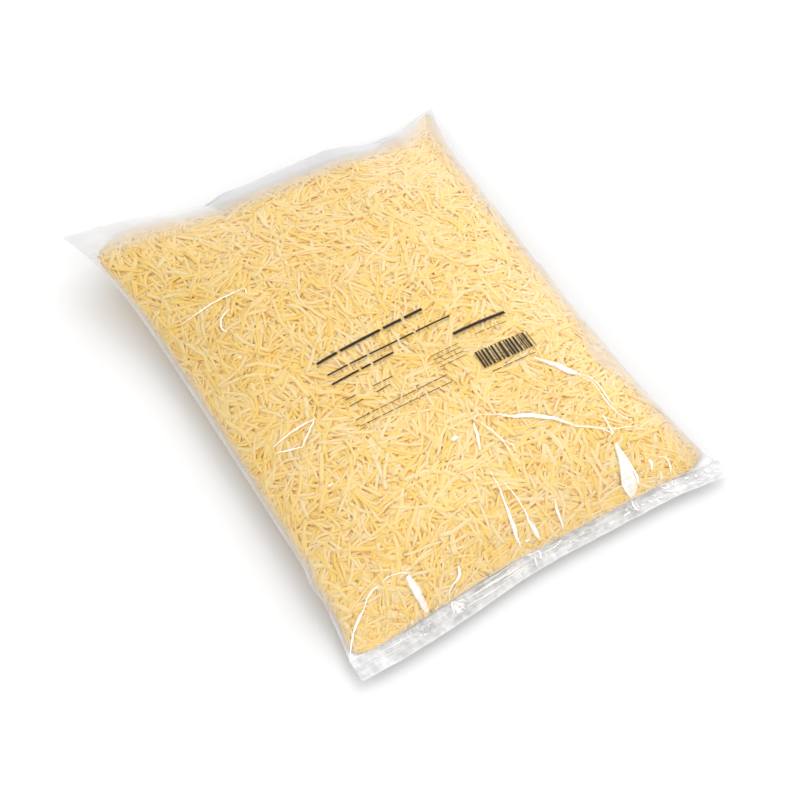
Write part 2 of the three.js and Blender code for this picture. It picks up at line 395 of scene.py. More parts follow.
filmLook = {
    "clear": (1, 1, 0.995), "edgeVeil": 0.4, "edgePower": 2.5,
    "smooth": 0.05, "glint": 0.2, "refraction": 1.45,
    "tints": (  # by "bright"
        (0.0, (0.16, 0.16, 0.17)), (0.35, (0.525, 0.526, 0.532)), (1.0, (0.95, 0.95, 0.95)),
    ),
}


def filmMaterial():
    # clear film: see-through, milky seen edge on and wherever "milky" says, from dark to white by "bright"
    nodes = Nodes("clearFilm")
    milky, bright, loose = (nodes.mark(key) for key in ("milky", "bright", "loose"))
    edge = nodes.add("LayerWeight", Blend=0.5).outputs["Facing"]
    clear = nodes.add("BsdfTransparent", Color=(*filmLook["clear"], 1))
    veil = nodes.add("BsdfDiffuse", Color=nodes.tones(bright, filmLook["tints"]))
    shine = nodes.add("BsdfGlossy", Color=(1, 1, 1, 1), Roughness=filmLook["smooth"])
    edge = nodes.math("MULTIPLY", nodes.math("POWER", edge, filmLook["edgePower"]), filmLook["edgeVeil"])
    veiled = nodes.blend(nodes.math("ADD", edge, milky), clear, veil)
    fresnel = nodes.add("Fresnel", IOR=filmLook["refraction"])
    share = nodes.math("ADD", nodes.math("MULTIPLY", fresnel, filmLook["glint"]), loose)
    return nodes.finish(nodes.blend(share, veiled, shine))


inkLook = {
    "tones": ((0.35, (0.016, 0.013, 0.01)), (0.8, (0.06, 0.045, 0.03))),
    "surface": {"Roughness": 0.45, "Specular_IOR_Level": 0.1}, "speckle": {"Scale": 2600, "Detail": 2},
}


def inkMaterial():
    nodes = Nodes("blackPrint")
    speckle = nodes.noise(nodes.add("TexCoord").outputs["Object"], inkLook["speckle"])
    colour = nodes.tones(speckle, inkLook["tones"])
    return nodes.finish(nodes.add("BsdfPrincipled", Base_Color=colour, **inkLook["surface"]))


# Where the shreds lie and how they are packed. They are laid in rounds over the core: a loose bed, on
# top also long shreds pressed to the film, then shorter ones in the gaps.
heap = {
    "depth": 2.9, "cell": 0.8, "seed": 4117, "sink": 0.45, "pressed": 0.2, "triesEach": 12, "perPiece": 3500,
    "width": (1.3, 1.9, 3.2), "thick": (0.52, 0.92), "shortest": 6, "stride": 1.5,
    "bend": 0.6, "turn": 0.22, "wiggle": 0.15, "wiggles": 9, "tuftSpread": 5, "bedShadeTone": 0.6,
    "inset": {"left": 1.5, "right": 2, "near": -0.5}, "uneven": 1.5, "unevenCells": 14,
    "farInset": (  # x, how far back from the far seal
        (-131, 12), (-113, 12), (-101, 10), (-77, 5), (-59, 2.5), (-43, 4), (-21, 8.5), (-5, 8.5),
        (14, 10), (31, 12), (48, 14), (66, 10), (80, 4), (95, 2), (114, 1), (131, 1),
    ),
    "corners": {"near": (20, 32), "far": (28, 7)},  # radius of the heap's corners, left and right
}

# in each round: how many shreds, how long, how high they pile, how much of one may stand higher, how many
# lie together, how many spots are looked at to find the lowest, and knots in a shred
stageKeys = ("count", "length", "level", "crowd", "tuft", "looks", "knots")
rounds = {
    "top": [
        (2000, (14, 30), 2.4, 0.6, 5, 12, 5), (3000, (18, 42), 2.6, 0.45, 8, 16, 7),
        (3400, (11, 28), 2.8, 0.6, 3, 50, 6),
    ],
    "under": [(1400, (14, 30), 2.4, 0.6, 5, 12, 5), (2000, (12, 34), 2.8, 0.5, 4, 30, 6)],
}


def farInset(sheet):
    # how far the cheese stays back from the far seal, along the seal
    place, inset = np.array(heap["farInset"], float).T
    return np.interp(sheet["points"][-1, :, 0], place, inset)


def heapAllowed(sheet):
    # where shreds may lie: clear of the folds, the seals and the pointed corners, with an uneven edge
    rng = np.random.default_rng(heap["seed"] + 5)
    A, B = np.meshgrid(sheet["a"], sheet["b"])
    inset = heap["inset"]
    uneven = softNoise(rng, *A.shape, heap["unevenCells"]) * heap["uneven"]
    side = {"left": A - sheet["a"][0] - inset["left"] + uneven,
            "right": sheet["a"][-1] - inset["right"] - A + uneven}
    end = {"near": B - inset["near"], "far": sheet["b"][-1] - farInset(sheet)[None, :] - B + uneven}
    allowed = (side["left"] > 0) & (side["right"] > 0) & (end["near"] > 0) & (end["far"] > 0)
    for along, radii in heap["corners"].items():
        for across, radius in zip(("left", "right"), radii):
            lack = np.hypot(np.maximum(radius - side[across], 0), np.maximum(radius - end[along], 0))
            allowed &= lack < radius
    return allowed


def longestRun(inside):
    # the longest unbroken stretch of a shred that lies where shreds may
    edges = np.flatnonzero(np.diff(np.r_[0, inside.astype(int), 0]))
    if not len(edges):
        return slice(0, 0)
    starts, ends = edges[::2], edges[1::2]
    best = (ends - starts).argmax()
    return slice(starts[best], ends[best])


# a shred across its width, for the pile: sideways in widths, and how far its rounded top is below its crown
shredAcross = np.array([-0.45, -0.22, 0, 0.22, 0.45])[:, None]
shredCrown = np.array([0.3, 0.05, 0, 0.05, 0.3])[:, None]
shredSoftening = [0.1, 0.25, 0.3, 0.25, 0.1]  # a shred bridges small hollows


class Pile:
    # how high the shreds reach at each cell of the sheet
    def __init__(self, sheet):
        self.a0, self.allowed = sheet["a"][0], heapAllowed(sheet)
        self.width, self.length = sheet["a"][-1] - self.a0, sheet["b"][-1]
        self.height = np.zeros((int(self.length / heap["cell"]) + 2, int(self.width / heap["cell"]) + 2))

    def cells(self, grid, step, a, b):
        i = np.clip(((a - self.a0) / step).astype(int), 0, grid.shape[1] - 1)
        j = np.clip((b / step).astype(int), 0, grid.shape[0] - 1)
        return j, i

    def isAllowed(self, a, b):
        return self.allowed[self.cells(self.allowed, sheetStep, a, b)]

    def lowestSpot(self, rng, looks):
        a, b = rng.uniform(self.a0, self.a0 + self.width, looks), rng.uniform(0, self.length, looks)
        filled = self.height[self.cells(self.height, heap["cell"], a, b)]
        lowest = np.where(self.isAllowed(a, b), filled, np.inf).argmin()
        return np.array([a[lowest], b[lowest]])

    def settle(self, rng, stage, line, width, thick):
        # rests a shred on what lies under it, or says None where it would stand too high
        a, b, angle = line
        side = shredAcross * width
        place = self.cells(self.height, heap["cell"], a - np.sin(angle) * side, b + np.cos(angle) * side)
        under = self.height[place].max(0)
        limit = stage["level"] - rng.uniform(0, heap["pressed"])
        if (under - heap["sink"] + thick > limit + heap["pressed"]).mean() > stage["crowd"]:
            return None
        rest = np.convolve(np.pad(under, 2, mode="edge"), shredSoftening, "valid")
        rest = np.clip(rest - heap["sink"], 0, limit - thick)
        self.height[place] = np.maximum(self.height[place], (rest + thick)[None, :] - shredCrown)
        return rest


def shredLine(rng, stage, middle, heading, bend):
    # a shred's line on the sheet as (a, b, angle), its step, width and thickness
    length, width = rng.uniform(*stage["length"]), rng.triangular(*heap["width"])
    thick = rng.uniform(*heap["thick"])
    turn, curve = heading + rng.normal(0, heap["turn"]), bend + rng.normal(0, heap["bend"] * 0.5)
    s = np.linspace(-0.5, 0.5, int(length / heap["stride"]) + 2)
    angle = turn + curve * s + heap["wiggle"] * np.sin(s * heap["wiggles"] + rng.uniform(0, 6))
    step = length * (s[1] - s[0])
    a = middle[0] + (np.cumsum(np.cos(angle)) - np.cos(angle).sum() / 2) * step
    b = middle[1] + (np.cumsum(np.sin(angle)) - np.sin(angle).sum() / 2) * step
    return (a, b, angle), step, width, thick


def packShreds(sheet):
    rng = np.random.default_rng(heap["seed"] + (0 if sheet["face"] == "top" else 1))
    pile = Pile(sheet)
    layers = []
    for layer, numbers in enumerate(rounds[sheet["face"]]):
        stage = dict(zip(stageKeys, numbers))
        laid, tries = [], 0
        while len(laid) < stage["count"] and tries < stage["count"] * heap["triesEach"]:
            middle = pile.lowestSpot(rng, stage["looks"])
            heading, bend = rng.uniform(0, pi), rng.normal(0, heap["bend"])
            for number in range(stage["tuft"]):
                tries += 1
                start = middle + rng.normal(0, heap["tuftSpread"], 2) * (number > 0)
                line, step, width, thick = shredLine(rng, stage, start, heading, bend)
                keep = longestRun(pile.isAllowed(*line[:2]))
                if (keep.stop - keep.start - 1) * step < heap["shortest"]:
                    continue
                line = [part[keep] for part in line]
                rest = pile.settle(rng, stage, line, width, thick)
                if rest is None:
                    continue
                places = np.linspace(0, len(rest) - 1, len(rest))
                knots = (len(rest) - 1) * (0.5 + 0.5 * shredKnots(stage["knots"]))
                a, b, angle, rest = (np.interp(knots, places, part) for part in (*line, rest))
                # painted shade: the bed's shreds, seen in the gaps, take the stronger and darker yellows
                tone = rng.uniform(0, 1) * (heap["bedShadeTone"] if layer == 0 else 1)
                laid.append((a, b, heap["depth"] - rest - thick / 2, angle,
                             width, thick, tone, rng.uniform(-0.5, 0.5)))
        print("laid", len(laid), "shreds in", tries, "tries on the", sheet["face"], "sheet")
        layers.append(laid)
    return layers


def shredKnots(count):
    # places along a shred from -1 to 1, closer together at its ends
    return np.sin(np.linspace(-1, 1, count) * pi / 2.4) / sin(pi / 2.4)


shred = {
    "section": ((-0.84, 1), (0.84, 1), (1, -1), (-1, -1)),  # sideways, up
    "taper": 0.35, "tipPower": 12, "uneven": (0.85, 1.08), "tallTips": 1.15, "roll": 0.25, "lift": 0.6,
    "clear": 0.06,  # no corner comes nearer to the film
    "tone": (0.36, 0.64),  # the strongest, and the range above it
    "farLeft": (0.4, 0.15, 1.25),  # mask for the painted shade towards the far left: share of the left, from, to
}


def meshShreds(sheet, laid, name, material, rng):
    lineA, lineB, depth, angle, width, thick, tone, twist = map(np.array, zip(*laid))
    n, m, k = len(laid), lineA.shape[1], len(shred["section"])
    s = shredKnots(m)
    taper = 1 - rng.uniform(0, shred["taper"], (n, 1)) * np.abs(s)[None, :] ** shred["tipPower"]
    taper = taper * rng.uniform(*shred["uneven"], (n, m))
    half = (width[:, None] / 2 * taper)[..., None]
    tall = (thick[:, None] / 2 * np.clip(taper * shred["tallTips"], 0, 1))[..., None]
    roll = (twist[:, None] + twist[::-1, None] * s[None, :])[..., None] * shred["roll"]
    across, up = np.array(shred["section"]).T
    sideways = half * across * np.cos(roll) - tall * up * np.sin(roll)
    upwards = half * across * np.sin(roll) * shred["lift"] + tall * up * np.cos(roll)
    a = lineA[..., None] - np.sin(angle)[..., None] * sideways
    b = lineB[..., None] + np.cos(angle)[..., None] * sideways
    points = wrap(sheet, a, b, np.maximum(depth[..., None] - upwards, shred["clear"]))
    index = np.arange(n * m * k).reshape(n, m, k)
    ring = np.roll(index, -1, axis=2)
    sides = np.stack([index[:, :-1], index[:, 1:], ring[:, 1:], ring[:, :-1]], -1).reshape(-1, 4)
    faces = np.concatenate([sides, index[:, 0], index[:, -1, ::-1]])
    if sheet["face"] == "under":
        faces = faces[:, ::-1]
    # a mask for painted shade that darkens the shreds towards the far left
    left, low, high = shred["farLeft"]
    farLeft = ramp(b / sheet["b"][-1] - left * a / sheet["a"][-1], low, high)
    base, spread = shred["tone"]
    # painted shade: the undersides, seen in the gaps, are marked to take a deep orange
    marks = {"tone": base + spread * tone[:, None, None] + 0 * farLeft, "far": farLeft,
             "deep": (up < 0) + 0 * farLeft}
    return addMesh(name, points, faces, material, marks=marks)


def makeShreds(sheet, material):
    rng = np.random.default_rng(heap["seed"] + 9)
    share = heap["perPiece"]
    for layer, laid in enumerate(packShreds(sheet)):
        for part, first in enumerate(range(0, len(laid), share)):
            name = f"{sheet['face']}Shreds{layer + 1}{'abc'[part]}"
            meshShreds(sheet, laid[first:first + share], name, material, rng)


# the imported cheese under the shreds
core = {
    "depth": 2.3, "lump": 0.3, "cells": 3, "in": 1.5, "nearIn": 0.5, "rows": 130, "columns": 100, "seed": 31,
}


def cornerInset(distance, radius):
    # how far a rounded corner stands back from the side, at a distance from the end
    lack = np.clip(radius - distance, 0, radius)
    return radius - np.sqrt(radius ** 2 - lack ** 2)


def makeCore(topSheet, underSheet, material):
    rng = np.random.default_rng(core["seed"])
    inset, corners = heap["inset"], heap["corners"]
    rings = []
    for sheet in (topSheet, underSheet):
        p, q = np.meshgrid(np.linspace(0, 1, core["columns"]), np.linspace(0, 1, core["rows"]))
        fromNear, fromFar = q * sheet["b"][-1], (1 - q) * sheet["b"][-1]
        back = [cornerInset(fromNear, near) + cornerInset(fromFar, far)
                for near, far in zip(corners["near"], corners["far"])]
        A = mix(sheet["a"][0] + inset["left"] + core["in"] + back[0],
                sheet["a"][-1] - inset["right"] - core["in"] - back[1], p)
        far = sheet["b"][-1] - np.interp(A, sheet["a"], farInset(sheet)) - core["in"]
        B = mix(inset["near"] + core["nearIn"], far, q)
        depth = core["depth"] + core["lump"] * softNoise(rng, *A.shape, core["cells"])
        rings.append(wrap(sheet, A, B, depth))
    rows, columns = A.shape
    top, low = gridFaces(rows, columns), gridFaces(rows, columns, flip=True) + rows * columns
    index = np.arange(rows * columns).reshape(rows, columns)
    border = np.concatenate([index[0, :], index[1:, -1], index[-1, -2::-1], index[-2:0:-1, 0]])
    after = np.roll(border, -1)
    wall = np.stack([after, border, border + rows * columns, after + rows * columns], -1)
    points = np.concatenate([ring.reshape(-1, 3) for ring in rings])
    return addMesh("cheeseCore", points, np.concatenate([top, low, wall]), material)


# the film itself
film = {
    "lift": 0.15, "crinkle": 0.12, "rim": 4, "lowest": 0.02, "seed": 88, "skip": {"top": 1, "under": 2},
    "crinkles": ((1, 9), (0.5, 4)), "cloud": ((0.12, 12), (0.08, 3)),  # strengths and lumps
    "hazeAndSheen": (0.02, 11, 0.4), "bright": 0.95, "overlap": 0.3, "roomShare": 0.35,
    "folds": {  # how far in the veil reaches, its share at the fold, its fall-off and its brightness
        "left": (9, 0.6, 1, 0.5), "right": (27, 0.7, 1.5, 0.5), "far": (32, 0.78, 1.3, 0.46),
        "near": (3, 0.4, 1, 0.8),
    },
    "farFold": {  # where its parts are, by a, and how much veil or brightness each of them takes or gives
        "start": 0.8, "ear": (85, 112), "left": (40, 90), "tip": (100, 125), "arch": ((-60, -30), (78, 95)),
        "earVeil": 0.5, "leftVeil": 0.12, "thinTint": 0.28, "tipTint": 0.04, "earTint": 0.1, "archTint": 0.11,
    },
    "slack": {  # the film stands off by the right fold, from a at each b
        "from": ((60, 121), (67, 114), (77, 109), (86, 102), (91, 96),
                 (101, 95), (112, 98), (126, 106), (150, 121)),
        "share": 0.3, "bright": 0.5, "fade": (95, 145), "edge": (-0.5, 1.5, 0.2),
    },
    "bare": (0.5, 0.8), "bareFade": (50, 25),  # the empty corners by the near seal: milky share, brightness
}


def farFold(A, veil, share, tint):
    # the cheese fills the right ear, the veil whitens as it thins and is greyer where the sheets arch
    far = film["farFold"]
    veil = veil * (1 - far["earVeil"] * ramp(A, *far["ear"])) * (1 - far["leftVeil"] * ramp(-A, *far["left"]))
    tint = tint + far["thinTint"] * (1 - veil / share) - far["tipTint"] * ramp(-A, *far["tip"])
    tint = tint + far["earTint"] * ramp(A, *far["ear"])
    start, end = far["arch"]
    return veil, tint - far["archTint"] * ramp(A, *start) * (1 - ramp(A, *end))


def slackShare(A, B):
    # 1 where the film stands off, 0 elsewhere, with a softer edge further along
    slack = film["slack"]
    start = np.interp(B, *np.array(slack["from"], float).T)
    (low, high), (before, after, soften) = slack["fade"], slack["edge"]
    edge = ramp(A - start, before, after + soften * np.clip(B - low, 0, high - low))
    return edge * (1 - ramp(B, low, high))


def makeFilm(sheet, name, material):
    rng = np.random.default_rng(film["seed"])
    A, B = np.meshgrid(sheet["a"], sheet["b"])
    crinkle = film["crinkle"] * relief(rng, A.shape, film["crinkles"])
    rim = np.clip(np.minimum(A - A.min(), A.max() - A) / film["rim"], 0, 1)
    rim = rim * np.clip(np.minimum(B, B.max() - B) / film["rim"], 0, 1)
    depth = np.minimum((crinkle - film["lift"]) * rim, film["roomShare"] * sheet["room"])
    points = sheet["points"] - sheet["normals"] * depth[..., None]
    points[..., 2] = np.maximum(points[..., 2], film["lowest"])
    away = {"left": A - A.min(), "right": A.max() - A, "near": B, "far": B.max() - B}
    # whitish patches: partly the film's own haze, partly painted sheen
    share, cell, base = film["hazeAndSheen"]
    milky = share * np.clip(softNoise(rng, *A.shape, cell) + base, 0, 1)
    bright = film["bright"] + 0 * A
    cloud = relief(rng, A.shape, film["cloud"], 1)
    for side, (reach, share, power, tint) in film["folds"].items():
        start = film["farFold"]["start"] * farInset(sheet) if side == "far" else 0
        veil = share * np.clip(1 - (away[side] - start) / (reach - start), 0, 1) ** power * cloud
        if side == "far":
            veil, tint = farFold(A, veil, share, tint)
        bright = np.where(veil > milky, tint, bright)
        milky = np.maximum(milky, veil) + film["overlap"] * np.minimum(milky, veil)
    if sheet["face"] == "top":
        inner = slackShare(A, B)
        bright = mix(bright, film["slack"]["bright"], inner)
        milky = mix(milky, film["slack"]["share"] * cloud, inner)
    share, tint = film["bare"]
    veil = share * cloud * blur(1 - heapAllowed(sheet), 3) * ramp(B, *film["bareFade"])
    bright = np.where(veil > milky, tint, bright)
    milky = 1 - (1 - milky) * (1 - veil)
    skip = film["skip"][sheet["face"]]
    rows, columns = (np.unique(np.r_[0:count:skip, count - 1]) for count in A.shape)
    thin = np.ix_(rows, columns)
    marks = {"loose": 0 * A[thin], "milky": milky[thin], "bright": bright[thin]}
    faces = gridFaces(len(rows), len(columns), flip=sheet["face"] == "under")
    return addMesh(name, points[thin], faces, material, marks=marks)


# the sealed bands; places across a band run from 0 at its seam to 1 at its tip
seal = {
    "columns": 420, "rows": 18, "crimp": 0.4, "crimpRise": 3, "seed": 61, "waves": 9, "waveShade": 0.05,
    "milky": {"near": 0.82, "far": 0.85}, "bright": {"near": 0.43, "far": 0.42},
    "lines": (0.3, 0.62), "lineWidth": 0.07,  # faint lighter lines run along the near band as painted highlights
    # grooves, painted light and shade on the crimps: share, squeezed across and along, cell
    "grooves": ((0.5, 6, 6, 60), (0.5, 1, 1, 16), (0.35, 4, 1, 8), (0.6, 1, 1, 3)),
    "lineShade": (0.06, 0.1), "grooveShade": (0.1, 0.15),  # what they add to milky and bright, as painted light and shade
    "cutEdge": (0.86, 0.97), "cutHighlight": 0.6, "cutHighlightShare": 0.6,  # painted highlight along the near band's edge
}


def nearBand(x, out):
    # a place on the near sealed band, at x and so many mm out from the seam
    seam = nearSeamY(x)
    share = out / (seam - nearTipY(x))
    return np.stack([x, seam - out, mix(bag["nearHeight"], bag["nearFin"][4], np.clip(share, 0, 1))], -1)


def makeSeal(end, material):
    rng = np.random.default_rng(seal["seed"] + (end == "far"))
    rows, columns = seal["rows"], seal["columns"]
    u = np.linspace(-1, 1, columns)
    t = np.linspace(0, 1, rows)[:, None]
    nearY, farY = seams(u)
    if end == "near":
        x = bodyX(u, nearY) + 0 * t
        points = nearBand(x, t * (nearSeamY(x) - nearTipY(x)))
    else:
        z = farHeight(u * bag["farHalf"]) + 0 * t
        tipX = u * bag["farTipHalf"]
        points = np.stack([mix(bodyX(u, farY), tipX, t), mix(farY, farTipY(tipX), t), z], -1)
    waves = softNoise(rng, rows, columns, seal["waves"])
    grooves = sum(share * softNoise(rng, rows * down, columns * over, cell)[::down, ::over]
                  for share, down, over, cell in seal["grooves"])
    points[..., 2] += seal["crimp"] * waves * np.minimum(1, seal["crimpRise"] * t)
    milky = seal["milky"][end] + seal["waveShade"] * waves
    bright = seal["bright"][end] + 0 * waves
    if end == "near":
        lines = sum(bump(t, place, seal["lineWidth"]) for place in seal["lines"])
        milky = milky + seal["grooveShade"][0] * grooves + seal["lineShade"][0] * lines
        bright = bright + seal["grooveShade"][1] * grooves + seal["lineShade"][1] * lines
        bright = mix(bright, seal["cutHighlight"], seal["cutHighlightShare"] * ramp(t, *seal["cutEdge"]))
    marks = {"loose": 0 * milky, "milky": np.clip(milky, 0.1, 0.95), "bright": np.clip(bright, 0, 1)}
    faces = gridFaces(rows, columns, flip=end == "near")
    return addMesh(f"{end}Seal", points, faces, material, marks=marks)
